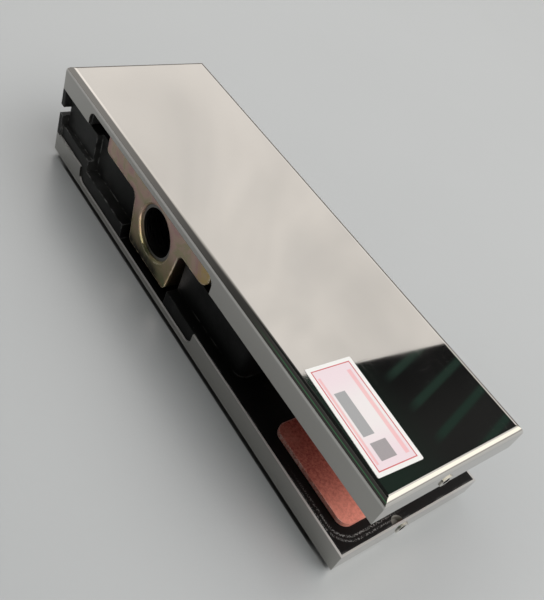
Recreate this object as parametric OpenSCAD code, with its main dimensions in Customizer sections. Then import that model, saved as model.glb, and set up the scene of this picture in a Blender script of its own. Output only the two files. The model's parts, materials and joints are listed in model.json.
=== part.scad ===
// Glass clamp: a patch fitting that grips the corner of a frameless glass door.
// Two black body halves in polished covers are drawn together by three clamp screws,
// and a steel insert in the upper half takes the pivot pin of the door frame.
// Lengths are in millimetres. The origin is the middle of the lower cover's face.
// +X runs from the pivot end to the glass end, -Y is the pivot edge, +Z is up.

/* [Overall] */
// Length over the covers
clamp_length = 165; // [155:1:185]
// Width over the covers
clamp_width = 51; // [49:0.5:58]
// Height of one half, from its cover face to its jaw face
half_height = 8.5; // [8:0.1:10]
// Gap between the two jaw faces with the clamp screws slack
jaw_gap = 17; // [16:0.1:19]
// Distance the upper half comes down when the clamp screws are tightened
clamp_travel = 2.5; // [1:0.1:3]
// Gap that stays between the halves when they are fully closed
stop_gap = 0.3; // [0.2:0.05:0.6]

/* [Covers] */
// Thickness of the cover sheet
cover_wall = 0.6; // [0.5:0.05:1.2]
// Outer radius of the folded cover edges
cover_bend = 2.2; // [1.6:0.1:2.8]
// Length that the notch in the pivot lip runs past the pocket of the insert, at each end
notch_margin = 0.8; // [0.3:0.1:2]
// Height of the pivot lip that is left along the notch
notch_lip = 3.5; // [3:0.1:4.4]
// Radius of the inner corners of the notch
notch_radius = 3; // [1:0.1:3.5]

/* [Bodies] */
// Clearance between a body and the inside of its cover
cover_fit = 0.15; // [0.05:0.05:0.3]
// Thickness of the end walls that stand at the pivot end
end_wall = 2; // [1.5:0.1:3]
// Height of the lower end wall above the jaw face
end_wall_height = 7.8; // [6:0.1:9]
// Gap left between the two end walls when the halves are closed
end_wall_gap = 0.8; // [0.4:0.1:2]
// Distance from the pivot end to the end of the core block
core_end = 111.5; // [108:0.5:118]
// Distance from the pivot edge to the front of the core block
core_front = 4.5; // [3.5:0.1:6]
// Distance from the pivot edge to the front of the core block at its corner
core_corner_front = 2.4; // [2:0.1:3]
// Width of the jaws behind the core block, for the glass
glass_grip = 15; // [13:0.5:18]
// Radius of the upright edges of the core block on the glass side
core_radius = 3; // [1:0.5:5]
// Height of the ridge in front of the core block, above the jaw face
ridge_height = 4.2; // [3:0.1:6]
// Distance from the pivot end to the end of the ridge
ridge_end = 21.5; // [18:0.5:24]
// Thickness of the lower body that is left under the insert
pocket_floor = 2.1; // [1.2:0.1:2.5]
// Diameter of the half-round relief notch in the glass end of the lower body
relief_width = 3.8; // [2:0.1:5]
// Depth of the relief notch below the jaw face
relief_depth = 2; // [1:0.1:2.5]
// Distance from the pivot edge to the relief notch
relief_offset = 20.2; // [12:0.1:28]

/* [Pivot insert] */
// Distance from the pivot end to the pivot axis
pivot_offset = 62; // [60:0.5:64]
// Distance from the upper cover face down to the pivot axis
pivot_drop = 16; // [15:0.1:16.5]
// Distance from the pivot edge to the front face of the insert
insert_front = 2; // [1.5:0.1:3]
// Thickness of the insert from front to back
insert_depth = 16; // [15:0.5:17]
// Length from the pivot axis to the tip of the arm at the pivot end
pivot_arm = 33; // [30:0.5:36]
// Length from the pivot axis to the tip of the arm at the glass end
glass_arm = 28; // [26:0.5:30]
// Depth that the arms sit in the upper body
arm_seat = 4; // [3:0.1:4.4]
// Height that the arms stand out of the upper jaw face
arm_proud = 3.2; // [2.5:0.1:4.5]
// Radius at the tip of the arm at the glass end
arm_tip_radius = 4; // [1:0.1:5]
// Radius at the other free corners of the insert
insert_radius = 1.5; // [0.5:0.1:2]
// Radius of the fillets between the arms and the boss
boss_fillet = 2; // [0.5:0.1:3]
// Width of the boss where it meets the arms
boss_root_width = 27; // [25:0.1:29]
// Width of the boss at its lower end
boss_tip_width = 22.2; // [20:0.1:25]
// Clearance between the boss and its pocket
boss_gap = 1; // [0.5:0.1:1.5]
// Room beside the arm at the pivot end, in the pocket of the upper body
pivot_arm_room = 9.5; // [1:0.5:11]
// Room beside the arm at the glass end, in the pocket of the upper body
glass_arm_room = 2.6; // [0.3:0.1:4]

/* [Pivot bush] */
// Inner diameter of the bush
bush_bore = 15; // [12:0.1:16]
// Wall thickness of the bush
bush_wall = 1; // [0.8:0.1:1.5]
// Depth of the bush below the front face of the insert
bush_recess = 1; // [0:0.1:2]
// Clearance between the bush and the bore of the insert, on the radius
bush_fit = 0.02; // [0.01:0.01:0.05]
// Size of the chamfer at the mouth of the bore
bore_chamfer = 0.6; // [0.2:0.1:0.9]

/* [Gaskets] */
// Thickness of the gaskets
gasket_thickness = 1.5; // [1:0.1:2]
// Length of the gaskets at the glass end
end_gasket_length = 31; // [25:0.5:36]
// Distance from the glass end to the end gaskets
gasket_end_margin = 5.5; // [4:0.5:8]
// Distance from the long edges to the gaskets
gasket_side_margin = 4.5; // [3:0.1:6]
// Distance from the pivot end to the edge gaskets
edge_gasket_start = 6; // [4:0.5:10]
// Gap between the edge gaskets and the end gaskets
gasket_gap = 5.5; // [2:0.5:10]
// Gap between the edge gaskets and the core block
gasket_core_gap = 2; // [1:0.1:4]
// Radius of the gasket corners
gasket_radius = 3; // [1:0.1:4]

/* [Clamp screws] */
// Thread diameter of the clamp screws
clamp_thread = 8; // [6:0.5:8.5]
// Head diameter of the clamp screws
clamp_head = 13; // [12:0.1:14]
// Head height of the clamp screws
clamp_head_height = 8; // [6:0.1:9]
// Width across the flats of the socket
clamp_socket = 6; // [5:0.1:6.5]
// Depth of the socket
clamp_socket_depth = 4; // [2:0.1:4.5]
// Chamfer at the tip and the head of the clamp screws
clamp_chamfer = 0.8; // [0.3:0.1:1]
// Gap between the tips of the clamp screws and the upper cover when the halves are closed
clamp_tip_gap = 0.7; // [0.3:0.1:1.5]
// Gap between the heads of the clamp screws and the lower cover
clamp_head_gap = 0.6; // [0.3:0.1:1]
// Clearance of the threads, on the radius
thread_fit = 0.05; // [0.02:0.01:0.1]
// Clearance round the heads and shanks, on the radius
shank_gap = 0.5; // [0.3:0.05:0.7]
// Distance from the pivot end to the first clamp screw
first_screw_offset = 13; // [12:0.5:16]
// Distance from the end of the core block back to the third clamp screw
third_screw_setback = 10; // [8:0.5:13]
// Distance from the pivot edge to the first and third clamp screws
outer_screw_inset = 24; // [21:0.5:27]

/* [Insert screws] */
// Thread diameter of the insert screws
insert_thread = 5; // [4:0.1:6]
// Head diameter of the insert screws
insert_head = 9.5; // [8:0.1:10]
// Length of the insert screws
insert_screw_length = 9; // [7:0.5:9.5]
// Width across the flats of the insert screw sockets
insert_socket = 3; // [2:0.1:3.5]
// Depth of the insert screw sockets
insert_socket_depth = 1.6; // [1:0.1:2]
// Distance from the pivot axis to each insert screw
insert_screw_spread = 22.5; // [21:0.5:23.5]

/* [Cover screws] */
// Thread diameter of the cover screws
cover_thread = 4; // [3:0.1:4.5]
// Length of the cover screws
cover_screw_length = 6; // [4:0.5:8]
// Height that the cover screws stand out of the cover
cover_screw_proud = 0.3; // [0:0.1:1]
// Distance from the edge of the upper cover's lips up to its screws
upper_screw_edge = 2.5; // [2.2:0.1:4]
// Width across the flats of the cover screw sockets
cover_socket = 2; // [1.5:0.1:2.3]
// Depth of the cover screw sockets
cover_socket_depth = 2; // [1:0.1:2.5]
// Depth of the cover screw holes past the screws
cover_hole_spare = 2; // [1:0.1:4]
// Distance from the pivot edge to the cover screws
cover_screw_inset = 23.5; // [20:0.5:30]

/* [Hidden] */
$fn = 64;
// How far cutting shapes run past the faces they cut, and how far joined shapes sink into each other
cut = 1;
sink = 1;
// Height of the whole clamp and of the upper jaw face
clamp_height = 2 * half_height + jaw_gap;
upper_jaw = half_height + jaw_gap;
// Inset of the bodies from the outside of the covers
body_inset = cover_wall + cover_fit;
// Inner radius of the folded cover edges, which the bodies follow
inner_bend = cover_bend - cover_wall;
// Ends of the pocket for the insert in the upper body, and of the notch over it
pocket_start = pivot_offset - pivot_arm - pivot_arm_room;
pocket_end = pivot_offset + glass_arm + glass_arm_room;
notch_start = pocket_start - notch_margin;
notch_length = pocket_end + notch_margin - notch_start;
// Top of the core block, and its lower top under the arms of the insert
core_height = jaw_gap - clamp_travel - stop_gap;
arm_step_height = core_height - arm_proud;
// Start of the core block, clear of the upper end wall, and its back
core_start = end_wall + stop_gap;
core_back = clamp_width - glass_grip;
// Height of the upper end wall
upper_wall_height = jaw_gap - end_wall_height - clamp_travel - end_wall_gap;
// Heights of the pivot axis, the arms and the lower end of the boss
pivot_height = clamp_height - pivot_drop;
arm_bottom = upper_jaw - arm_proud;
arm_top = upper_jaw + arm_seat;
boss_bottom = cover_wall + pocket_floor + clamp_travel + stop_gap;
insert_back = insert_front + insert_depth;
// Half width of the pocket for the boss
boss_pocket = boss_root_width / 2 + boss_gap;
// Outer radius of the bush, and its length to the back of the insert
bush_radius = bush_bore / 2 + bush_wall;
bush_length = insert_depth - bush_recess;
// Start of the end gaskets, and size of the edge gaskets between them, the core block and the edge
edge_gasket_width = glass_grip - gasket_core_gap - gasket_side_margin;
end_gasket_start = clamp_length - gasket_end_margin - end_gasket_length;
edge_gasket_length = end_gasket_start - gasket_gap - edge_gasket_start;
// Places of the clamp screws, and the seat and tip of each
clamp_places = [
    [first_screw_offset, outer_screw_inset],
    [pivot_offset, (insert_back + boss_gap + core_back) / 2],
    [core_end - third_screw_setback, outer_screw_inset]
];
clamp_seat = cover_wall + clamp_head_gap + clamp_head_height;
clamp_tip = clamp_height - cover_wall - clamp_travel - clamp_tip_gap;
// Places of the insert screws
insert_screw_places = [pivot_offset - insert_screw_spread, pivot_offset + insert_screw_spread];
insert_screw_inset = insert_front + insert_depth / 2;
insert_screw_top = clamp_height - cover_wall - cover_fit;
insert_head_height = (insert_head - insert_thread) / 2;
// Distances of the cover screws from the faces of the lower and the upper cover
lower_screw_height = half_height / 2;
upper_screw_height = half_height - upper_screw_edge;
// Colours of the preview
polished_steel = [0.78, 0.77, 0.75];
black_casting = [0.05, 0.05, 0.05];
yellow_steel = [0.78, 0.66, 0.38];
bush_steel = [0.6, 0.6, 0.58];
red_fibre = [0.72, 0.36, 0.28];
dark_steel = [0.25, 0.25, 0.26];

// Moves from the corner frame, with its zero at the pivot end, to the frame of the part
module placed() {
    translate([-clamp_length / 2, -clamp_width / 2, 0])
        children();
}

// Turns a shape of the lower half over, into the upper half
module upper_side() {
    translate([0, 0, clamp_height])
        mirror([0, 0, 1])
            children();
}

// Stands a flat outline drawn in X and Z upright, running from y_from to y_to in Y
module upright(y_from, y_to) {
    translate([0, y_to, 0])
        rotate([90, 0, 0])
            linear_extrude(y_to - y_from)
                children();
}

// A rectangle with round corners, lower left corner at zero
module round_rectangle(length, width, radius) {
    translate([radius, 0])
        square([length - 2 * radius, width]);
    translate([0, radius])
        square([length, width - 2 * radius]);
    for (x = [radius, length - radius], y = [radius, width - radius])
        translate([x, y])
            circle(radius);
}

// A section of a folded sheet, with its two lower corners round
module fold_section(length, height, radius) {
    translate([radius, 0])
        square([length - 2 * radius, height]);
    translate([0, radius])
        square([length, height - radius]);
    for (x = [radius, length - radius])
        translate([x, radius])
            circle(radius);
}

// A block whose lower edges are folded round, with sharp upright corners
module folded_block(length, width, height, radius) {
    intersection() {
        upright(0, width)
            fold_section(length, height, radius);
        rotate([90, 0, 90])
            linear_extrude(length)
                fold_section(width, height, radius);
    }
}

// The holes for the cover screws at both ends of a half
module cover_screw_holes(height) {
    depth = cover_screw_length + cover_hole_spare;
    for (x = [-cut, clamp_length - depth])
        translate([x, cover_screw_inset, height])
            rotate([0, 90, 0])
                cylinder(d = cover_thread + 2 * thread_fit, h = depth + cut);
}

// A folded cover of polished sheet, notched in its pivot lip
module cover(screw_height) {
    inner_length = clamp_length - 2 * cover_wall;
    inner_width = clamp_width - 2 * cover_wall;
    notch_depth = half_height - notch_lip;
    difference() {
        folded_block(clamp_length, clamp_width, half_height, cover_bend);
        translate([cover_wall, cover_wall, cover_wall])
            folded_block(inner_length, inner_width, half_height, inner_bend);
        translate([notch_start, 0, notch_lip])
            upright(-cut, cover_wall + cut)
                fold_section(notch_length, notch_depth + cut, notch_radius);
        cover_screw_holes(screw_height);
    }
}

// The plate that both bodies start from, in its cover
module body_plate() {
    length = clamp_length - 2 * body_inset;
    width = clamp_width - 2 * body_inset;
    translate([body_inset, body_inset, cover_wall])
        folded_block(length, width, half_height - cover_wall, inner_bend);
}

// A wall across the pivot end, flush with the cover, with its foot sunk in the plate
module pivot_end_wall(height) {
    translate([0, 0, half_height])
        cube([end_wall, core_back, height]);
    translate([body_inset, body_inset, half_height - sink])
        cube([end_wall - body_inset, core_back - body_inset, height + sink]);
}

// Outline of the core block seen from above
module core_outline() {
    length = core_end - core_start;
    translate([core_start, core_corner_front])
        square([ridge_end - core_start, core_back - core_corner_front]);
    translate([core_start, core_front])
        square([length - core_radius, core_back - core_front]);
    translate([core_start, core_front + core_radius])
        square([length, core_back - core_front - 2 * core_radius]);
    for (y = [core_front + core_radius, core_back - core_radius])
        translate([core_end - core_radius, y])
            circle(core_radius);
}

// The lower body with the core block that fills the cut-out in the glass
module lower_body_shape() {
    arm_slot_start = pivot_offset - pivot_arm - boss_gap;
    arm_slot_end = pivot_offset + glass_arm + boss_gap;
    web_length = core_start + sink - body_inset;
    difference() {
        union() {
            body_plate();
            pivot_end_wall(end_wall_height);
            translate([0, 0, half_height - sink])
                linear_extrude(core_height + sink)
                    core_outline();
            // Ridge, and the web that joins the end wall to the core block
            translate([body_inset, body_inset, half_height - sink])
                cube([ridge_end - body_inset, core_front - body_inset, ridge_height + sink]);
            translate([body_inset, core_corner_front, half_height - sink])
                cube([web_length, core_back - core_corner_front, end_wall_height + sink]);
        }
        cover_screw_holes(lower_screw_height);
        // Relief notch
        translate([clamp_length - body_inset, relief_offset, half_height - relief_depth])
            cylinder(d = relief_width, h = relief_depth + cut);
        // Room for the arms of the insert
        translate([arm_slot_start, -cut, half_height + arm_step_height])
            cube([arm_slot_end - arm_slot_start, insert_back + boss_gap + cut, core_height]);
        // Pocket for the boss of the insert
        translate([pivot_offset - boss_pocket, -cut, cover_wall + pocket_floor])
            cube([2 * boss_pocket, insert_back + boss_gap + cut, clamp_height]);
        // Counterbored holes for the clamp screws
        for (place = clamp_places)
            translate([place.x, place.y, 0]) {
                cylinder(d = clamp_thread + 2 * shank_gap, h = clamp_height);
                cylinder(d = clamp_head + 2 * shank_gap, h = clamp_seat);
            }
    }
}

// The upper body, drawn the right way up, with the pocket that holds the insert
module upper_body_shape() {
    difference() {
        upper_side() {
            body_plate();
            pivot_end_wall(upper_wall_height);
        }
        upper_side()
            cover_screw_holes(upper_screw_height);
        translate([pocket_start, -cut, upper_jaw - cut])
            cube([pocket_end - pocket_start, insert_back + stop_gap + cut, arm_seat + cut]);
        // Threaded holes for the clamp screws
        for (place = clamp_places)
            translate([place.x, place.y, upper_jaw - cut])
                cylinder(d = clamp_thread + 2 * thread_fit, h = half_height + cut);
        // Countersunk holes for the insert screws
        for (x = insert_screw_places)
            translate([x, insert_screw_inset, 0]) {
                translate([0, 0, upper_jaw])
                    cylinder(d = insert_thread + 2 * shank_gap, h = half_height);
                insert_screw_head(shank_gap);
            }
    }
}

// The countersunk head of an insert screw, or the room for it with a gap
module insert_screw_head(gap) {
    translate([0, 0, insert_screw_top - insert_head_height])
        cylinder(d1 = insert_thread + 2 * gap, d2 = insert_head + 2 * gap, h = insert_head_height);
    if (gap > 0)
        translate([0, 0, insert_screw_top])
            cylinder(d = insert_head + 2 * gap, h = cut);
}

// The face of the insert: two arms along the top and a tapered boss that hangs from them
module insert_outline() {
    arm_height = arm_top - arm_bottom;
    arm_length = pivot_arm + glass_arm;
    boss_height = arm_bottom - boss_bottom;
    taper = (boss_root_width - boss_tip_width) / 2;
    // Slope of the boss's sides, and how far a round corner reaches along them
    slope = atan(taper / boss_height);
    corner_reach = insert_radius / tan((90 + slope) / 2);
    // Arms, with a wide radius at the glass end
    translate([pivot_offset - pivot_arm, arm_bottom]) {
        translate([insert_radius, 0])
            square([arm_length - insert_radius - arm_tip_radius, arm_height]);
        translate([0, insert_radius])
            square([arm_length - arm_tip_radius, arm_height - insert_radius]);
        translate([0, arm_tip_radius])
            square([arm_length, arm_height - arm_tip_radius]);
        translate([insert_radius, insert_radius])
            circle(insert_radius);
        translate([arm_length - arm_tip_radius, arm_tip_radius])
            intersection() {
                circle(arm_tip_radius);
                translate([0, -arm_tip_radius])
                    square(arm_tip_radius);
            }
    }
    // Boss, with round lower corners
    translate([pivot_offset, boss_bottom]) {
        polygon([
            [-boss_root_width / 2, boss_height + cut],
            [-boss_root_width / 2, boss_height],
            [-boss_tip_width / 2 - corner_reach * sin(slope), corner_reach * cos(slope)],
            [-boss_tip_width / 2 + corner_reach, 0],
            [boss_tip_width / 2 - corner_reach, 0],
            [boss_tip_width / 2 + corner_reach * sin(slope), corner_reach * cos(slope)],
            [boss_root_width / 2, boss_height],
            [boss_root_width / 2, boss_height + cut]
        ]);
        for (side = [-1, 1])
            translate([side * (boss_tip_width / 2 - corner_reach), insert_radius])
                circle(insert_radius);
    }
    // Fillets under the arms
    for (side = [-1, 1])
        translate([pivot_offset + side * boss_root_width / 2, arm_bottom])
            difference() {
                translate([side > 0 ? -taper : -boss_fillet, -boss_fillet])
                    square([boss_fillet + taper, boss_fillet + cut]);
                translate([side * boss_fillet, -boss_fillet])
                    circle(boss_fillet);
                translate([side > 0 ? -2 * taper : 0, -boss_fillet - cut])
                    square([2 * taper, boss_fillet + cut]);
            }
}

// Pivot insert of yellow chromated steel, bored for the bush
module pivot_insert() {
    hole_radius = bush_radius + bush_fit;
    color(yellow_steel)
        placed()
            difference() {
                upright(insert_front, insert_back)
                    insert_outline();
                translate([pivot_offset, insert_front - cut, pivot_height])
                    rotate([-90, 0, 0])
                        cylinder(r = hole_radius, h = insert_depth + 2 * cut);
                translate([pivot_offset, insert_front, pivot_height])
                    rotate([-90, 0, 0])
                        cylinder(r1 = hole_radius + bore_chamfer, r2 = hole_radius, h = bore_chamfer);
                for (x = insert_screw_places)
                    translate([x, insert_screw_inset, arm_bottom - cut])
                        cylinder(r = insert_thread / 2 + thread_fit, h = arm_top - arm_bottom + 2 * cut);
            }
}

// Bearing bush, pressed into the insert
module pivot_bush() {
    color(bush_steel)
        placed()
            translate([pivot_offset, insert_front + bush_recess, pivot_height])
                rotate([-90, 0, 0])
                    difference() {
                        cylinder(r = bush_radius, h = bush_length);
                        translate([0, 0, -cut])
                            cylinder(d = bush_bore, h = bush_length + 2 * cut);
                    }
}

// Gasket on the jaw face at the glass end
module end_gasket() {
    width = clamp_width - 2 * gasket_side_margin;
    translate([end_gasket_start, gasket_side_margin, half_height])
        linear_extrude(gasket_thickness)
            round_rectangle(end_gasket_length, width, gasket_radius);
}

// Gasket on the jaw face along the edge away from the pivot
module edge_gasket() {
    inset = clamp_width - gasket_side_margin - edge_gasket_width;
    translate([edge_gasket_start, inset, half_height])
        linear_extrude(gasket_thickness)
            round_rectangle(edge_gasket_length, edge_gasket_width, gasket_radius);
}

// A socket cut into the head of a screw that points up, from its top face
module hex_socket(width, depth) {
    translate([0, 0, -depth])
        cylinder(d = width / cos(30), h = depth + cut, $fn = 6);
}

// Clamp screw with its head below, in the lower body
module clamp_screw(place) {
    head_bottom = clamp_seat - clamp_head_height;
    straight = clamp_tip - clamp_seat - clamp_chamfer;
    head_end = clamp_head - 2 * clamp_chamfer;
    tip_end = clamp_thread - 2 * clamp_chamfer;
    color(dark_steel)
        placed()
            translate([place.x, place.y, 0])
                difference() {
                    union() {
                        translate([0, 0, head_bottom])
                            cylinder(d1 = head_end, d2 = clamp_head, h = clamp_chamfer);
                        translate([0, 0, head_bottom + clamp_chamfer])
                            cylinder(d = clamp_head, h = clamp_head_height - clamp_chamfer);
                        translate([0, 0, clamp_seat])
                            cylinder(d = clamp_thread, h = straight);
                        translate([0, 0, clamp_tip - clamp_chamfer])
                            cylinder(d1 = clamp_thread, d2 = tip_end, h = clamp_chamfer);
                    }
                    translate([0, 0, head_bottom])
                        mirror([0, 0, 1])
                            hex_socket(clamp_socket, clamp_socket_depth);
                }
}

// Countersunk screw through the upper body into an arm of the insert
module insert_screw(x) {
    color(dark_steel)
        placed()
            translate([x, insert_screw_inset, 0])
                difference() {
                    union() {
                        insert_screw_head(0);
                        translate([0, 0, insert_screw_top - insert_screw_length])
                            cylinder(d = insert_thread, h = insert_screw_length - insert_head_height);
                    }
                    translate([0, 0, insert_screw_top])
                        hex_socket(insert_socket, insert_socket_depth);
                }
}

// Cover screw at the pivot end (side 0) or the glass end (side 1) of a lower half
module cover_screw(side, height) {
    translate([side * clamp_length, cover_screw_inset, height])
        rotate([0, side > 0 ? 90 : -90, 0])
            difference() {
                translate([0, 0, cover_screw_proud - cover_screw_length])
                    cylinder(d = cover_thread, h = cover_screw_length);
                translate([0, 0, cover_screw_proud])
                    hex_socket(cover_socket, cover_socket_depth);
            }
}

// Named pieces
module lower_cover() {
    color(polished_steel)
        placed()
            cover(lower_screw_height);
}

module upper_cover() {
    color(polished_steel)
        placed()
            upper_side()
                cover(upper_screw_height);
}

module lower_body() {
    color(black_casting)
        placed()
            lower_body_shape();
}

module upper_body() {
    color(black_casting)
        placed()
            upper_body_shape();
}

module lower_end_gasket() {
    color(red_fibre)
        placed()
            end_gasket();
}

module upper_end_gasket() {
    color(red_fibre)
        placed()
            upper_side()
                end_gasket();
}

module lower_edge_gasket() {
    color(red_fibre)
        placed()
            edge_gasket();
}

module upper_edge_gasket() {
    color(red_fibre)
        placed()
            upper_side()
                edge_gasket();
}

module lower_cover_screw(side) {
    color(dark_steel)
        placed()
            cover_screw(side, lower_screw_height);
}

module upper_cover_screw(side) {
    color(dark_steel)
        placed()
            upper_side()
                cover_screw(side, upper_screw_height);
}

lower_cover();
upper_cover();
lower_body();
upper_body();
pivot_insert();
pivot_bush();
lower_end_gasket();
upper_end_gasket();
lower_edge_gasket();
upper_edge_gasket();
clamp_screw(clamp_places[0]);  // clamp_screw_1
clamp_screw(clamp_places[1]);  // clamp_screw_2
clamp_screw(clamp_places[2]);  // clamp_screw_3
insert_screw(insert_screw_places[0]);  // pivot_side_insert_screw
insert_screw(insert_screw_places[1]);  // glass_side_insert_screw
lower_cover_screw(0);  // lower_pivot_cover_screw
lower_cover_screw(1);  // lower_glass_cover_screw
upper_cover_screw(0);  // upper_pivot_cover_screw
upper_cover_screw(1);  // upper_glass_cover_screw
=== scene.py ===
import json
import math

import bpy
from mathutils import Euler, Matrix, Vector

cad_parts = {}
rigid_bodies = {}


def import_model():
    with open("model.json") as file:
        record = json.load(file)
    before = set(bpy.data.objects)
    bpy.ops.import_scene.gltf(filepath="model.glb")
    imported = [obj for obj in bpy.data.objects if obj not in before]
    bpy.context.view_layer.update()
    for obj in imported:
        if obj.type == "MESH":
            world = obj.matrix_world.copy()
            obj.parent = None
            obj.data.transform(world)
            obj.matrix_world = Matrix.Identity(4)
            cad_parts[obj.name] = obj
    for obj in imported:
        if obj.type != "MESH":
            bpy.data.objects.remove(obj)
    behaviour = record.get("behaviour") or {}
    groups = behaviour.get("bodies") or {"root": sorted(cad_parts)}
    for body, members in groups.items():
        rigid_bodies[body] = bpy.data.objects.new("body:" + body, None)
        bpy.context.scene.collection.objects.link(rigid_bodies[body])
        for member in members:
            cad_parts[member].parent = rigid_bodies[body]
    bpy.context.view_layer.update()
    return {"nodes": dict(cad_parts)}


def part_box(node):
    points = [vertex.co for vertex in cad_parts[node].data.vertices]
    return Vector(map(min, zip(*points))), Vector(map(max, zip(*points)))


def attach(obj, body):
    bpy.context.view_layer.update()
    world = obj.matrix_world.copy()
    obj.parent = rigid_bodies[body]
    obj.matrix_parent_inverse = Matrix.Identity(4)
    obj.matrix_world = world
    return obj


for leftover in list(bpy.data.objects):
    bpy.data.objects.remove(leftover, do_unlink=True)
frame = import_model()
nodes = frame["nodes"]
scene = bpy.context.scene
scene.view_settings.view_transform = "Standard"
MM = 0.001

# Places taken from the frame
cover_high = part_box("upper_cover")[1]
COVER_HALF = (cover_high[0], cover_high[1])
COVER_TOP = cover_high[2]
gasket_low, gasket_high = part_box("lower_end_gasket")
JAW_FACE = gasket_low[2]
INSERT_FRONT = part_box("pivot_insert")[0][1]

# Rectangle of the end gaskets, seen from above: middle, half sizes and corner radius
END_GASKET = ([(gasket_low[i] + gasket_high[i]) / 2 for i in (0, 1)],
              [(gasket_high[i] - gasket_low[i]) / 2 for i in (0, 1)], 3 * MM)
# The cut edges of the cover sheet lie at least this far from the cover faces
LIP_START = 3.1 * MM
# Sides and start of the relief notch in the glass end of the lower body
RELIEF_SIDES = (-7.4 * MM, -3.2 * MM)
RELIEF_START = 79.2 * MM
# Axes of the cover screws
COVER_SCREW_Y = -2 * MM
COVER_SCREW_LEVELS = (4.25 * MM, 28 * MM)
# Length and width of the label, and where it lies
LABEL_SIZE = (30.8 * MM, 14.4 * MM)
LABEL_CORNER = 0.4 * MM
LABEL_THICKNESS = 0.1 * MM
LABEL_GAP = 0.01 * MM
LABEL_PLACE = (61.5 * MM, -15.3 * MM)
LABEL_TURN = -2.6
# Floor
FLOOR_HALF = 3.0
FLOOR_DROP = 0.2 * MM
# Cards that only reflections see
DARK_CARD_HEIGHT = 200 * MM
STRIP_HEIGHT = COVER_TOP + 1 * MM
RIM_GAP = 0.15 * MM
RIM_LEVELS = (COVER_TOP - 2.7 * MM, COVER_TOP + 0.6 * MM)
GLINT_GAP = 0.8 * MM
# Lamp
LAMP_PLACE = (0.5, 0.5, 0.9)
LAMP_SIZE = 0.9
LAMP_POWER = 3.0
# Camera at the photograph's viewing angle
CAMERA_PLACE = (109.3 * MM, -126.7 * MM, 160.08 * MM)
CAMERA_TURN = (44.937, -18.598, 55.497)
CAMERA_LENS = 44.25


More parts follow.
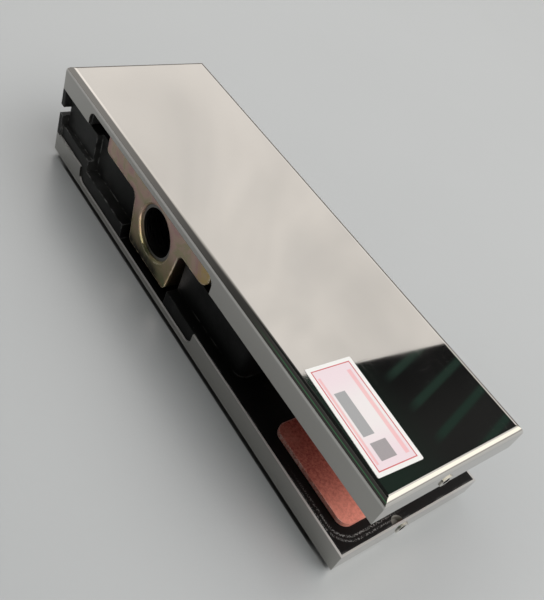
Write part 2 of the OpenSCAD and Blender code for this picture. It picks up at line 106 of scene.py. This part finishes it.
class Nodes:
    """Short calls for the shader nodes used here, in one node tree. Lengths are in metres."""

    def __init__(self, tree):
        self.tree = tree
        tree.nodes.clear()
        self.where = None

    def add(self, kind, **settings):
        node = self.tree.nodes.new(kind)
        for key, value in settings.items():
            setattr(node, key, value)
        return node

    def put(self, socket, value):
        if isinstance(value, bpy.types.NodeSocket):
            self.tree.links.new(value, socket)
        elif socket.type == "RGBA":
            socket.default_value = (*value[:3], 1)
        else:
            socket.default_value = value

    def math(self, kind, a, b=0.0):
        node = self.add("ShaderNodeMath", operation=kind)
        self.put(node.inputs[0], a)
        self.put(node.inputs[1], b)
        return node.outputs[0]

    def times(self, first, *others):
        for other in others:
            first = self.math("MULTIPLY", first, other)
        return first

    def squared_from(self, value, middle):
        return self.math("POWER", self.math("SUBTRACT", value, middle), 2.0)

    def vector(self, kind, a, b=(0, 0, 0)):
        node = self.add("ShaderNodeVectorMath", operation=kind)
        self.put(node.inputs[0], a)
        self.put(node.inputs[1], b)
        return node.outputs["Value" if kind in ("LENGTH", "DOT_PRODUCT") else "Vector"]

    def split(self, vector):
        node = self.add("ShaderNodeSeparateXYZ")
        self.put(node.inputs[0], vector)
        return node.outputs

    def stretch(self, scale, turn=(0, 0, 0)):
        node = self.add("ShaderNodeMapping")
        self.put(node.inputs["Vector"], self.where)
        node.inputs["Rotation"].default_value = turn
        node.inputs["Scale"].default_value = scale
        return node.outputs[0]

    def noise(self, scale, detail=3.0, rough=0.55, vector=None, warp=0.0):
        node = self.add("ShaderNodeTexNoise")
        self.put(node.inputs["Vector"], self.where if vector is None else vector)
        node.inputs["Scale"].default_value = scale
        node.inputs["Detail"].default_value = detail
        node.inputs["Roughness"].default_value = rough
        node.inputs["Distortion"].default_value = warp
        return node.outputs[0]

    def cells(self, scale):
        node = self.add("ShaderNodeTexVoronoi")
        self.put(node.inputs["Vector"], self.where)
        node.inputs["Scale"].default_value = scale
        return node.outputs["Distance"]

    def fade(self, value, low, high, to_low=0.0, to_high=1.0):
        """Goes smoothly from to_low, where the value is low, to to_high, where it is high."""
        node = self.add("ShaderNodeMapRange", interpolation_type="SMOOTHSTEP")
        self.put(node.inputs["Value"], value)
        node.inputs["From Min"].default_value = low
        node.inputs["From Max"].default_value = high
        node.inputs["To Min"].default_value = to_low
        node.inputs["To Max"].default_value = to_high
        return node.outputs[0]

    def band(self, value, low, high, soft):
        """1 between low and high and 0 outside, with soft ends."""
        above = self.fade(value, low - soft, low + soft)
        return self.times(above, self.fade(value, high + soft, high - soft))

    def outside(self, middle, half, radius):
        """Distance outside a rectangle with round corners, seen from above."""
        flat = self.vector("MULTIPLY", self.where, (1, 1, 0))
        reach = self.vector("ABSOLUTE", self.vector("SUBTRACT", flat, (*middle, 0)))
        reach = self.vector("SUBTRACT", reach, (half[0] - radius, half[1] - radius, 0))
        past = self.vector("LENGTH", self.vector("MAXIMUM", reach, (0, 0, 0)))
        x, y, _ = self.split(reach)
        within = self.math("MINIMUM", self.math("MAXIMUM", x, y), 0.0)
        return self.math("SUBTRACT", self.math("ADD", past, within), radius)

    def rounded(self, radius):
        """A normal that rounds the edges."""
        node = self.add("ShaderNodeBevel", samples=6)
        node.inputs["Radius"].default_value = radius
        return node.outputs[0]

    def edges(self, radius):
        """How far a rounded normal turns from the face's own normal, which marks the edges."""
        own = self.add("ShaderNodeNewGeometry").outputs["Normal"]
        return self.math("SUBTRACT", 1.0, self.vector("DOT_PRODUCT", self.rounded(radius), own))

    def ramp(self, value, *stops):
        node = self.add("ShaderNodeValToRGB")
        self.put(node.inputs[0], value)
        while len(node.color_ramp.elements) < len(stops):
            node.color_ramp.elements.new(0.5)
        for element, (place, colour) in zip(node.color_ramp.elements, stops):
            element.position = place
            element.color = (*colour, 1)
        return node.outputs[0]

    def mix(self, share, a, b):
        node = self.add("ShaderNodeMix", data_type="RGBA")
        self.put(node.inputs[0], share)
        self.put(node.inputs[6], a)
        self.put(node.inputs[7], b)
        return node.outputs[2]

    def bump(self, height, depth, strength=1.0, normal=None):
        node = self.add("ShaderNodeBump")
        if normal is not None:
            self.put(node.inputs["Normal"], normal)
        node.inputs["Strength"].default_value = strength
        node.inputs["Distance"].default_value = depth
        self.put(node.inputs["Height"], height)
        return node.outputs[0]


class Paint(Nodes):
    """A material with one principled shader, painted in the part's own coordinates."""

    def __init__(self, name):
        self.mat = bpy.data.materials.new(name)
        self.mat.use_nodes = True
        super().__init__(self.mat.node_tree)
        self.shader = self.add("ShaderNodeBsdfPrincipled")
        surface = self.add("ShaderNodeOutputMaterial").inputs["Surface"]
        self.tree.links.new(self.shader.outputs[0], surface)
        self.where = self.add("ShaderNodeTexCoord").outputs["Object"]

    def set(self, **values):
        for key, value in values.items():
            self.put(self.shader.inputs[key.replace("_", " ")], value)

    def glow(self, colour):
        """Makes the material show the colour whatever the light."""
        self.set(Base_Color=(0.0, 0.0, 0.0), Roughness=1.0, Specular_IOR_Level=0.0,
                 Emission_Strength=1.0, Emission_Color=colour)

    def on(self, *names):
        for name in names:
            nodes[name].data.materials.clear()
            nodes[name].data.materials.append(self.mat)


def soften(name, width):
    """Rounds the edges of a CAD node a little, with modifiers."""
    nodes[name].modifiers.new("weld", "WELD").merge_threshold = 1e-6
    bevel = nodes[name].modifiers.new("bevel", "BEVEL")
    bevel.width = width
    bevel.segments = 2
    bevel.limit_method = "ANGLE"
    bevel.angle_limit = math.radians(30)
    bevel.harden_normals = True


def add_mesh(name, points, faces, paint):
    """A new object of the given points and faces, in the scene."""
    mesh = bpy.data.meshes.new(name)
    mesh.from_pydata(points, [], faces)
    mesh.materials.append(paint.mat)
    thing = bpy.data.objects.new(name, mesh)
    scene.collection.objects.link(thing)
    return thing


def add_card(points, faces, paint, height=0.0):
    """A card on the stage that only reflections see, named like its paint."""
    card = add_mesh(paint.mat.name, points, faces, paint)
    card.location = (0, 0, height)
    card.visible_camera = False
    card.visible_diffuse = False
    card.visible_shadow = False
    card.visible_transmission = False


def flat(outline):
    """Points at height 0, from an outline in millimetres."""
    return [(x * MM, y * MM, 0) for x, y in outline]


# Mirror-polished cover sheet, with hairline scratches, dull where the sheet is cut, and painted shade on
# its upright sides
steel = Paint("polished_steel")
hair = steel.noise(1.0, 2.0, vector=steel.stretch((60, 2600, 2600), (0, 0, 0.05)))
hair_two = steel.noise(1.0, 2.0, vector=steel.stretch((2200, 90, 2200), (0, 0, 0.7)))
hairs = steel.math("MAXIMUM", steel.fade(hair, 0.66, 0.74), steel.fade(hair_two, 0.68, 0.75))
haze = steel.noise(38, 4.0)
facing = steel.split(steel.add("ShaderNodeNewGeometry").outputs["True Normal"])[2]
facing = steel.math("ABSOLUTE", facing)
level = steel.split(steel.where)[2]
sawn = steel.band(level, LIP_START, COVER_TOP - LIP_START, 0.1 * MM)
sawn = steel.times(sawn, steel.fade(facing, 0.5, 0.7))
gloss = steel.math("ADD", steel.fade(haze, 0.35, 0.75, 0.03, 0.06), steel.times(hairs, 0.06))
tone_and_painted_side_shade = steel.mix(haze, (0.66, 0.635, 0.6), (0.7, 0.675, 0.645))
# Painted shade: a darker base colour on the upright sides of the cover sheet
tone_and_painted_side_shade = steel.mix(steel.fade(facing, 0.3, 0.02), tone_and_painted_side_shade, (0.45, 0.436, 0.41))
steel.set(Base_Color=steel.mix(sawn, tone_and_painted_side_shade, (0.42, 0.41, 0.39)),
          Metallic=steel.math("SUBTRACT", 1.0, sawn),
          Roughness=steel.math("MAXIMUM", gloss, steel.times(sawn, 0.38)),
          Normal=steel.bump(steel.noise(14, 1.0), 0.03 * MM, 0.35))
steel.on("lower_cover", "upper_cover")

# Black painted casting, with a fine grain, dust, worn edges, scuffs by the end gasket, a bare notch, and
# painted light towards the far end
black = Paint("black_casting")
cast = black.noise(170, 3.0)
dust = black.times(black.fade(black.cells(520), 0.1, 0.03), black.fade(black.noise(90, 2.0), 0.5, 0.68))
x, y, z = black.split(black.where)
off_gasket = black.outside(*END_GASKET)
scuffs = black.math("MAXIMUM", black.band(off_gasket, 2.3 * MM, 2.7 * MM, 0.3 * MM),
                    black.band(off_gasket, 3.5 * MM, 3.8 * MM, 0.3 * MM))
scuffs = black.times(scuffs, black.fade(black.noise(2600, 2.0), 0.46, 0.6),
                     black.fade(x, 55 * MM, 80 * MM), black.fade(y, 0, -14 * MM),
                     black.band(z, JAW_FACE - 0.2 * MM, JAW_FACE + 0.2 * MM, 0.1 * MM))
# Painted light: the coat turns paler towards the far end
far_end_painted_light = black.fade(x, -30 * MM, -60 * MM)
worn = black.times(black.fade(black.edges(0.8 * MM), 0.03, 0.16), black.fade(black.noise(260), 0.42, 0.65))
worn = black.times(worn, black.fade(x, -20 * MM, -55 * MM, 0.25, 0.9))
bare = black.times(black.band(y, *RELIEF_SIDES, 0.2 * MM),
                   black.fade(x, RELIEF_START, RELIEF_START + 0.4 * MM),
                   black.band(z, JAW_FACE - 2.2 * MM, JAW_FACE - 0.1 * MM, 0.1 * MM))
coat = black.mix(cast, (0.0015, 0.0015, 0.0015), (0.0035, 0.0035, 0.0035))
coat = black.mix(black.times(dust, 0.3), coat, (0.2, 0.2, 0.19))
coat = black.mix(black.times(far_end_painted_light, black.fade(cast, 0.3, 0.7, 0.4, 1.0)), coat, (0.05, 0.05, 0.048))
coat = black.mix(worn, coat, (0.3, 0.3, 0.29))
coat = black.mix(black.times(scuffs, 0.6), coat, (0.5, 0.5, 0.48))
black.set(Base_Color=black.mix(black.times(bare, 0.8), coat, (0.4, 0.38, 0.34)),
          Specular_IOR_Level=0.2,
          Roughness=black.fade(cast, 0.3, 0.7, 0.48, 0.62),
          Normal=black.bump(black.noise(1500), 0.12 * MM, 0.35, black.rounded(0.5 * MM)))
black.on("lower_body", "upper_body")

# Yellow chromated steel: pinkish arms, an olive boss, a yellower tip, darker low on the boss's left, and
# worn edges
gold = Paint("yellow_steel")
tint = gold.noise(110, 4.0, 0.6, warp=0.8)
mill = gold.noise(1.0, 2.0, vector=gold.stretch((220, 900, 60)))
x, _, z = gold.split(gold.where)
arms = gold.ramp(tint, (0.34, (0.44, 0.38, 0.24)), (0.46, (0.56, 0.4, 0.32)), (0.56, (0.52, 0.31, 0.3)),
                 (0.68, (0.56, 0.45, 0.27)))
boss = gold.ramp(tint, (0.36, (0.24, 0.25, 0.13)), (0.5, (0.38, 0.31, 0.18)), (0.66, (0.46, 0.3, 0.23)))
skin = gold.mix(gold.fade(z, 20 * MM, 14 * MM), arms, boss)
tip = gold.times(gold.fade(x, 0, 5 * MM), gold.fade(gold.noise(420), 0.35, 0.6, 0.4, 0.9))
skin = gold.mix(tip, skin, (0.55, 0.4, 0.15))
# Darker towards the bottom of the boss, on its left
darker_low_left = gold.times(gold.fade(z, 11 * MM, 6.5 * MM), gold.fade(gold.noise(300), 0.3, 0.6, 0.6, 1.0),
                   gold.fade(x, -11 * MM, -17 * MM))
skin = gold.mix(darker_low_left, skin, (0.03, 0.028, 0.02))
worn = gold.times(gold.fade(gold.edges(1.0 * MM), 0.02, 0.1), gold.fade(gold.noise(500), 0.38, 0.56))
gold.set(Base_Color=gold.mix(worn, skin, (1.0, 0.86, 0.64)),
         Metallic=gold.math("SUBTRACT", 1.0, gold.times(worn, 0.5)),
         Roughness=gold.fade(mill, 0.3, 0.7, 0.28, 0.42),
         Normal=gold.bump(mill, 0.04 * MM, 0.3, gold.rounded(0.8 * MM)))
gold.on("pivot_insert")
soften("pivot_insert", 0.25 * MM)

# Ground steel bush
ring = Paint("bush_steel")
turned = ring.noise(1.0, 2.0, vector=ring.stretch((90, 2600, 90)))
ring.set(Base_Color=ring.mix(turned, (0.15, 0.145, 0.135), (0.22, 0.21, 0.195)), Metallic=1.0,
         Roughness=ring.fade(turned, 0.3, 0.7, 0.26, 0.36), Normal=ring.bump(turned, 0.02 * MM, 0.15))
ring.on("pivot_bush")

# Plated screws, with painted shade inside the sockets of the cover screws
plate = Paint("screw_steel")
spots = plate.noise(420, 3.0)
_, y, z = plate.split(plate.where)
from_axes = [plate.squared_from(z, level) for level in COVER_SCREW_LEVELS]
from_axis = plate.math("ADD", plate.squared_from(y, COVER_SCREW_Y), plate.math("MINIMUM", *from_axes))
# Painted shade inside the sockets of the cover screws
socket = plate.fade(plate.math("SQRT", from_axis), 1.22 * MM, 1.1 * MM)
metal = plate.mix(spots, (0.5, 0.48, 0.44), (0.72, 0.69, 0.63))
plate.set(Base_Color=plate.mix(socket, metal, (0.05, 0.047, 0.042)), Metallic=1.0,
          Roughness=plate.fade(spots, 0.3, 0.7, 0.2, 0.38), Normal=plate.bump(spots, 0.04 * MM, 0.3))
plate.on(*[name for name in nodes if name.endswith("screw") or name.startswith("clamp_screw")])

# Red fibre gaskets, mottled, worn pale at the rim of the end gaskets, and painted light towards the glass
# end
fibre = Paint("red_fibre")
felt = fibre.noise(1100, 4.0, 0.7)
patch = fibre.noise(190, 3.0)
rim = fibre.fade(fibre.outside(*END_GASKET), -0.4 * MM, -0.05 * MM)
rim = fibre.times(rim, fibre.fade(fibre.noise(2400, 2.0), 0.4, 0.6), fibre.fade(fibre.noise(140), 0.3, 0.6))
red = fibre.mix(fibre.fade(felt, 0.3, 0.7), (0.36, 0.085, 0.065), (0.66, 0.24, 0.18))
red = fibre.mix(fibre.fade(patch, 0.5, 0.75, 0.0, 0.5), red, (0.72, 0.3, 0.225))
# Painted light: the gaskets turn paler towards the glass end, where more light falls
pale = fibre.fade(fibre.split(fibre.where)[0], 58 * MM, 75 * MM)
red = fibre.mix(fibre.times(pale, fibre.fade(felt, 0.35, 0.6, 0.5, 0.66)), red, (0.93, 0.35, 0.26))
fibre.set(Base_Color=fibre.mix(fibre.times(rim, 0.7), red, (0.8, 0.62, 0.55)), Roughness=0.6,
          Specular_IOR_Level=0.3, Normal=fibre.bump(felt, 0.2 * MM, 0.6))
fibre.on(*[name for name in nodes if name.endswith("gasket")])

# Paper of the blank label: a white border, a red frame line, a pink field, two stripes and two grey fields
paper = Paint("label_paper")
half_label = [side / 2 for side in LABEL_SIZE]
inside = paper.math("MULTIPLY", paper.outside((0, 0), half_label, 0.1 * MM), -1.0)
speck = paper.noise(2500, 2.0)
x, y, _ = paper.split(paper.where)
sideways = paper.fade(paper.math("ABSOLUTE", x), 2 * MM, 12 * MM)
pink = paper.mix(sideways, (0.76, 0.71, 0.7), (0.76, 0.63, 0.66))
ground = paper.mix(paper.fade(inside, 1.4 * MM, 1.5 * MM), (0.79, 0.78, 0.75), pink)
panel = paper.times(paper.band(x, -7 * MM, 5.5 * MM, 0.05 * MM),
                    paper.band(y, -4 * MM, -0.6 * MM, 0.05 * MM))
ground = paper.mix(panel, ground, (0.33, 0.33, 0.33))
stripes = paper.math("MAXIMUM", paper.band(y, 3.7 * MM, 4.9 * MM, 0.1 * MM),
                     paper.band(y, -5.4 * MM, -4.7 * MM, 0.1 * MM))
stripes = paper.times(stripes, paper.band(x, -12 * MM, 12.6 * MM, 0.1 * MM))
ground = paper.mix(paper.times(stripes, 0.55), ground, (0.8, 0.3, 0.3))
square = paper.times(paper.band(x, 7.4 * MM, 12.2 * MM, 0.05 * MM),
                     paper.band(y, -3.6 * MM, 1.2 * MM, 0.05 * MM))
ground = paper.mix(paper.times(square, 0.8), ground, (0.2, 0.195, 0.195))
ground = paper.mix(paper.band(inside, 1.1 * MM, 1.4 * MM, 0.05 * MM), ground, (0.55, 0.1, 0.11))
paper.set(Base_Color=paper.mix(paper.times(speck, 0.1), ground, (0.6, 0.56, 0.55)), Roughness=0.55,
          Specular_IOR_Level=0.3, Normal=paper.bump(speck, 0.03 * MM, 0.3))

# Blank label on the upper cover, with round corners
outline = []
for side_x, side_y, start in ((1, 1, 0), (-1, 1, 90), (-1, -1, 180), (1, -1, 270)):
    for step in range(5):
        angle = math.radians(start + step * 22.5)
        outline.append((side_x * (half_label[0] - LABEL_CORNER) + LABEL_CORNER * math.cos(angle),
                        side_y * (half_label[1] - LABEL_CORNER) + LABEL_CORNER * math.sin(angle)))
count = len(outline)
label_points = [(x, y, z) for z in (0.0, LABEL_THICKNESS) for x, y in outline]
label_faces = [list(range(count, 2 * count)), list(reversed(range(count)))]
for i in range(count):
    after = (i + 1) % count
    label_faces.append((i, after, count + after, count + i))
label = add_mesh("blank_label", label_points, label_faces, paper)
label.location = (*LABEL_PLACE, COVER_TOP + LABEL_GAP)
label.rotation_euler = (0, 0, math.radians(LABEL_TURN))
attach(label, "upper_half")

# Floor, a glossy painted sheet, with a painted contact shadow right under the pivot side of the clamp
table = Paint("table")
sheet = table.mix(table.noise(9), (0.375, 0.388, 0.39), (0.405, 0.418, 0.42))
# Painted contact shadow under the pivot side of the clamp
painted_contact_shadow = table.fade(table.outside((0, 0), COVER_HALF, 0.5 * MM), 0.15 * MM, -0.1 * MM)
x, y, _ = table.split(table.where)
painted_contact_shadow = table.times(painted_contact_shadow, table.fade(y, -12 * MM, -20 * MM),
                    table.fade(table.math("ABSOLUTE", x), 80 * MM, 72 * MM))
table.set(Base_Color=table.mix(painted_contact_shadow, sheet, (0.01, 0.01, 0.01)), Roughness=0.34, IOR=2.2,
          Normal=table.bump(table.noise(320, 2.0), 0.12 * MM, 0.3))
floor_corners = [(x * FLOOR_HALF, y * FLOOR_HALF, 0) for x, y in ((-1, -1), (1, -1), (1, 1), (-1, 1))]
floor = add_mesh("floor", floor_corners, [range(4)], table)
floor.location = (0, 0, -FLOOR_DROP)

# World: soft light, weak on the pivot side, and for reflections a bright room with a dark side
world = bpy.data.worlds.new("studio")
scene.world = world
world.use_nodes = True
sky = Nodes(world.node_tree)
direction = sky.add("ShaderNodeTexCoord").outputs["Generated"]
dx, dy, dz = sky.split(direction)
slope_y = sky.math("DIVIDE", dy, sky.math("MAXIMUM", dz, 0.02))
cloud = sky.fade(sky.noise(4.5, vector=direction, warp=0.4), 0.3, 0.7)
room = sky.mix(cloud, (0.8, 0.78, 0.755), (1.0, 0.965, 0.925))
room = sky.mix(sky.band(slope_y, 1.6, 3.0, 0.35), room, (1.1, 1.08, 1.05))
room = sky.mix(sky.fade(slope_y, 2.8, 4.0), room, (0.5, 0.49, 0.47))
green = sky.times(sky.band(slope_y, -1.6, -1.1, 0.2), sky.fade(dx, -0.47, -0.36))
dark = sky.mix(sky.fade(dx, -0.82, -0.46), (0.34, 0.335, 0.325), (0.05, 0.05, 0.048))
dark = sky.mix(green, dark, (0.06, 0.18, 0.09))
room = sky.mix(sky.fade(slope_y, 0.5, -0.3), room, dark)
soft_light = sky.mix(sky.fade(dx, 0.2, 0.65), (1.1, 1.1, 1.1), (4.2, 4.16, 4.1))
shadow = sky.times(sky.fade(dy, 0.0, -0.3), sky.fade(dx, -1.0, -0.8), sky.fade(dx, 0.95, 0.75),
                   sky.fade(dz, 0.97, 0.86))
shadow = sky.math("MAXIMUM", shadow, sky.fade(dz, 0.5, 0.3))
soft_light = sky.mix(shadow, soft_light, (0.1, 0.1, 0.1))
backdrop = sky.mix(cloud, (0.55, 0.56, 0.56), (0.6, 0.61, 0.61))
ray = sky.add("ShaderNodeLightPath").outputs
seen = sky.mix(ray["Is Glossy Ray"], soft_light, room)
seen = sky.mix(ray["Is Camera Ray"], seen, backdrop)
background = sky.add("ShaderNodeBackground")
sky.put(background.inputs["Color"], seen)
sky.tree.links.new(background.outputs[0], sky.add("ShaderNodeOutputWorld").inputs["Surface"])

# Dark card above and beyond the glass end, with faint slanting streaks
shade = Paint("dark_card")
x, y, _ = shade.split(shade.where)
across = shade.math("ADD", x, shade.times(y, 0.27))
streak = shade.math("PINGPONG", shade.math("SUBTRACT", across, 7 * MM), 11 * MM)
streak = shade.times(shade.fade(streak, 3.6 * MM, 1.4 * MM), shade.fade(y, 158 * MM, 172 * MM))
ground = shade.mix(shade.fade(x, -20 * MM, 30 * MM), (0.009, 0.0095, 0.0095), (0.022, 0.023, 0.0225))
ground = shade.mix(shade.fade(y, 170 * MM, 120 * MM), ground, (0.02, 0.034, 0.027))
shade.glow(shade.mix(streak, ground, (0.023, 0.045, 0.035)))
add_card(flat(((-41.3, 60), (98, 60), (98, 238), (-20.6, 238))), [range(4)], shade, DARK_CARD_HEIGHT)

# Strip for the bend on the pivot side to reflect, pale at the far end and dark at the glass end
dim = Paint("dark_strip")
x, y, _ = dim.split(dim.where)
along = dim.mix(dim.fade(x, -75 * MM, -35 * MM), (1.25, 1.2, 1.15), (0.92, 0.89, 0.85))
slant = dim.math("SUBTRACT", x, dim.times(dim.math("ADD", y, 22.6 * MM), 27.0))
dim.glow(dim.mix(dim.fade(slant, -10 * MM, 68 * MM), along, (0.012, 0.014, 0.013)))
add_card(flat(((-82, -23.9), (-30, -23.9), (10, -24.3), (82, -24.3), (82, -22.7), (-82, -22.7))),
         [range(6)], dim, STRIP_HEIGHT)

# Strip for the bend at the glass end to reflect
lit = Paint("pale_strip")
lit.glow(lit.mix(lit.noise(60, 2.0), (1.45, 1.41, 1.27), (1.6, 1.56, 1.4)))
add_card(flat(((81.4, -26), (86.0, -26), (86.0, 28), (81.4, 28))), [range(4)], lit, STRIP_HEIGHT)

# Low walls for the bends on the far side and at the pivot end to reflect
dusk = Paint("dim_rim")
dusk.glow((0.23, 0.215, 0.195))
rim_x, rim_y = [half + RIM_GAP for half in COVER_HALF]
rim_foot = ((82 * MM, rim_y), (-rim_x, rim_y), (-rim_x, -COVER_HALF[1]))
add_card([(x, y, z) for z in RIM_LEVELS for x, y in rim_foot], [(0, 1, 4, 3), (1, 2, 5, 4)], dusk)

# Small pale cards in front of the insert, for the worn edges of its boss and its bore to reflect
spark = Paint("glint")
spark.glow((2.5, 2.3, 2.2))
boss_glint = ((-9.2, 5.2), (-8.2, 5.2), (-5.8, 16.0), (-6.8, 16.0))
bore_glint = ((-28.9, 16.4), (-26.7, 11.8), (-25.0, 10.2), (-24.4, 11.0), (-25.8, 12.4), (-28.0, 16.6))
add_card([(x * MM, INSERT_FRONT - GLINT_GAP, z * MM) for x, z in boss_glint + bore_glint],
         [range(4), range(4, 10)], spark)

# Soft box that reflections don't see
soft = bpy.data.lights.new("soft_box", "AREA")
soft.shape = "RECTANGLE"
soft.size = LAMP_SIZE
soft.size_y = LAMP_SIZE
soft.energy = LAMP_POWER
lamp = bpy.data.objects.new("soft_box", soft)
lamp.location = LAMP_PLACE
lamp.rotation_euler = (-Vector(LAMP_PLACE)).to_track_quat("-Z", "Y").to_euler()
lamp.visible_glossy = False
scene.collection.objects.link(lamp)

# Camera
eye = bpy.data.cameras.new("camera")
eye.lens = CAMERA_LENS
eye.clip_start = 5 * MM
camera = bpy.data.objects.new("camera", eye)
camera.location = CAMERA_PLACE
camera.rotation_euler = Euler([math.radians(angle) for angle in CAMERA_TURN], "XYZ")
scene.collection.objects.link(camera)
scene.camera = camera
